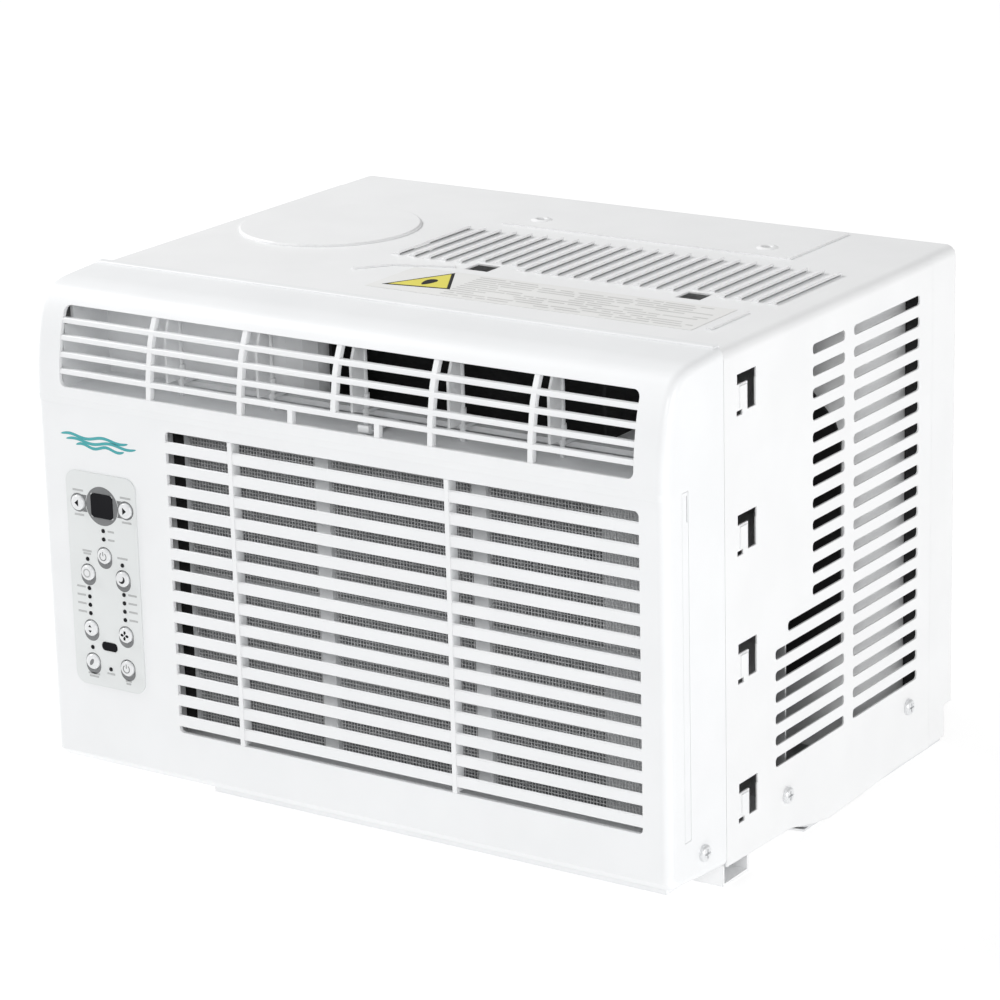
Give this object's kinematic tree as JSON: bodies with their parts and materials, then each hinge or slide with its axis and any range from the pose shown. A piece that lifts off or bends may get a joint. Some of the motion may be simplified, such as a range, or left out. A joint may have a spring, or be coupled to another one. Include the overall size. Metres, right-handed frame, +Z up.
{
  "type": "window air conditioner",
  "caption": "Compact window air conditioner with a louvred intake, a gridded air outlet over guide vanes, a push-button panel, a slide-out filter and a vented steel cabinet.",
  "frame": {"origin": "middle of the footprint, on the surface that the unit stands on", "axes": "+Z up, -Y out of the front grille, +X to the right of a person facing the front"},
  "size_m": [0.4108, 0.3187, 0.2947],
  "materials": {
    "shell_white": "smooth white moulding, satin gloss",
    "overlay_grey": "light grey printed face film",
    "display_black": "dark gloss window",
    "lamp_lens": "unlit dark lamp lens",
    "button_white": "white key cap",
    "board_green": "green circuit board",
    "switch_black": "black switch body",
    "capacitor_grey": "plain can",
    "vane_white": "white moulding",
    "duct_white": "white moulding",
    "filter_white": "white filter frame",
    "filter_net": "dark woven net",
    "cabinet_white": "white powder coat on steel",
    "pan_white": "painted steel pan",
    "foot_grey": "grey painted bracket",
    "galvanised": "galvanised sheet",
    "foam_black": "black moulded foam",
    "fin_aluminium": "thin fins",
    "copper": "copper tube",
    "compressor_black": "black enamel",
    "motor_steel": "plain steel can",
    "wheel_black": "black moulding",
    "fan_grey": "grey moulding",
    "rubber_black": "soft black rubber",
    "zinc": "zinc-plated screws",
    "sticker": "printed sticker, no text"
  },
  "bodies": {
    "root": {"front_bezel": "shell_white", "control_overlay": "overlay_grey", "display_window": "display_black", "remote_eye": "display_black", "indicator_lenses": "lamp_lens", "control_board": "board_green", "tact_switches": "switch_black", "control_box": "galvanised", "run_capacitor": "capacitor_grey", "outlet_duct": "duct_white", "cabinet": "cabinet_white", "rear_guard": "cabinet_white", "base_pan": "pan_white", "front_feet": "foot_grey", "fan_motor": "motor_steel", "motor_bracket": "galvanised", "blower_housing": "foam_black", "bulkhead": "galvanised", "condenser_shroud": "cabinet_white", "evaporator_coil": "fin_aluminium", "evaporator_bends": "copper", "condenser_coil": "fin_aluminium", "condenser_bends": "copper", "compressor": "compressor_black", "compressor_grommets": "rubber_black", "compressor_bolts": "zinc", "terminal_cover": "switch_black", "accumulator": "compressor_black", "suction_line": "copper", "discharge_line": "copper", "liquid_line": "copper", "capillary_tube": "copper", "filter_drier": "copper", "cord_bushing": "rubber_black", "room_sensor": "copper", "drain_plug": "rubber_black", "top_label": "sticker", "case_screws": "zinc"},
    "filter": {"filter_frame": "filter_white", "filter_mesh": "filter_net"},
    "link": {"vane_link": "vane_white", "vane_lever": "vane_white"},
    "rotor": {"fan_shaft": "zinc", "blower_wheel": "wheel_black", "condenser_fan": "fan_grey", "wheel_nuts": "zinc"},
    "vane_1": {"vane_1": "vane_white"},
    "vane_2": {"vane_2": "vane_white"},
    "vane_3": {"vane_3": "vane_white"},
    "vane_4": {"vane_4": "vane_white"},
    "vane_5": {"vane_5": "vane_white"},
    "button_temp_down": {"button_temp_down": "button_white"},
    "button_temp_up": {"button_temp_up": "button_white"},
    "button_timer": {"button_timer": "button_white"},
    "button_filter": {"button_filter": "button_white"},
    "button_sleep": {"button_sleep": "button_white"},
    "button_mode": {"button_mode": "button_white"},
    "button_fan_speed": {"button_fan_speed": "button_white"},
    "button_saver": {"button_saver": "button_white"},
    "button_power": {"button_power": "button_white"}
  },
  "joints": [
    {"name": "button_temp_down_press", "type": "slide", "parent": "root", "child": "button_temp_down", "axis": [0, 1, 0], "range_m": [0, 0.001], "stiffness_N_per_m": 800, "springref_m": -0.0005},
    {"name": "button_temp_up_press", "type": "slide", "parent": "root", "child": "button_temp_up", "axis": [0, 1, 0], "range_m": [0, 0.001], "stiffness_N_per_m": 800, "springref_m": -0.0005},
    {"name": "button_timer_press", "type": "slide", "parent": "root", "child": "button_timer", "axis": [0, 1, 0], "range_m": [0, 0.001], "stiffness_N_per_m": 800, "springref_m": -0.0005},
    {"name": "button_filter_press", "type": "slide", "parent": "root", "child": "button_filter", "axis": [0, 1, 0], "range_m": [0, 0.001], "stiffness_N_per_m": 800, "springref_m": -0.0005},
    {"name": "button_sleep_press", "type": "slide", "parent": "root", "child": "button_sleep", "axis": [0, 1, 0], "range_m": [0, 0.001], "stiffness_N_per_m": 800, "springref_m": -0.0005},
    {"name": "button_mode_press", "type": "slide", "parent": "root", "child": "button_mode", "axis": [0, 1, 0], "range_m": [0, 0.001], "stiffness_N_per_m": 800, "springref_m": -0.0005},
    {"name": "button_fan_speed_press", "type": "slide", "parent": "root", "child": "button_fan_speed", "axis": [0, 1, 0], "range_m": [0, 0.001], "stiffness_N_per_m": 800, "springref_m": -0.0005},
    {"name": "button_saver_press", "type": "slide", "parent": "root", "child": "button_saver", "axis": [0, 1, 0], "range_m": [0, 0.001], "stiffness_N_per_m": 800, "springref_m": -0.0005},
    {"name": "button_power_press", "type": "slide", "parent": "root", "child": "button_power", "axis": [0, 1, 0], "range_m": [0, 0.001], "stiffness_N_per_m": 800, "springref_m": -0.0005},
    {"name": "vane_1_swing", "type": "hinge", "parent": "root", "child": "vane_1", "pos_m": [-0.1177, -0.134, 0.26], "axis": [0, 0, 1], "range_deg": [-30, 30]},
    {"name": "vane_2_swing", "type": "hinge", "parent": "root", "child": "vane_2", "pos_m": [-0.0562, -0.134, 0.26], "axis": [0, 0, 1], "range_deg": [-30, 30]},
    {"name": "vane_3_swing", "type": "hinge", "parent": "root", "child": "vane_3", "pos_m": [0.0053, -0.134, 0.26], "axis": [0, 0, 1], "range_deg": [-30, 30]},
    {"name": "vane_4_swing", "type": "hinge", "parent": "root", "child": "vane_4", "pos_m": [0.0668, -0.134, 0.26], "axis": [0, 0, 1], "range_deg": [-30, 30]},
    {"name": "vane_5_swing", "type": "hinge", "parent": "root", "child": "vane_5", "pos_m": [0.1283, -0.134, 0.26], "axis": [0, 0, 1], "range_deg": [-30, 30]},
    {"name": "link_carry", "type": "hinge", "parent": "vane_3", "child": "link", "pos_m": [0.0053, -0.122, 0.2395], "axis": [0, 0, 1], "range_deg": [-30, 30]},
    {"name": "filter_pull", "type": "slide", "parent": "root", "child": "filter", "axis": [1, 0, 0], "range_m": [0, 0.3]},
    {"name": "fan_spin", "type": "hinge", "parent": "root", "child": "rotor", "pos_m": [0.045, 0, 0.134], "axis": [0, 1, 0], "continuous": true}
  ],
  "couplings": [
    {"joint": "vane_1_swing", "follows": "vane_3_swing", "ratio": 1},
    {"joint": "vane_2_swing", "follows": "vane_3_swing", "ratio": 1},
    {"joint": "vane_4_swing", "follows": "vane_3_swing", "ratio": 1},
    {"joint": "vane_5_swing", "follows": "vane_3_swing", "ratio": 1},
    {"joint": "link_carry", "follows": "vane_3_swing", "ratio": -1}
  ]
}
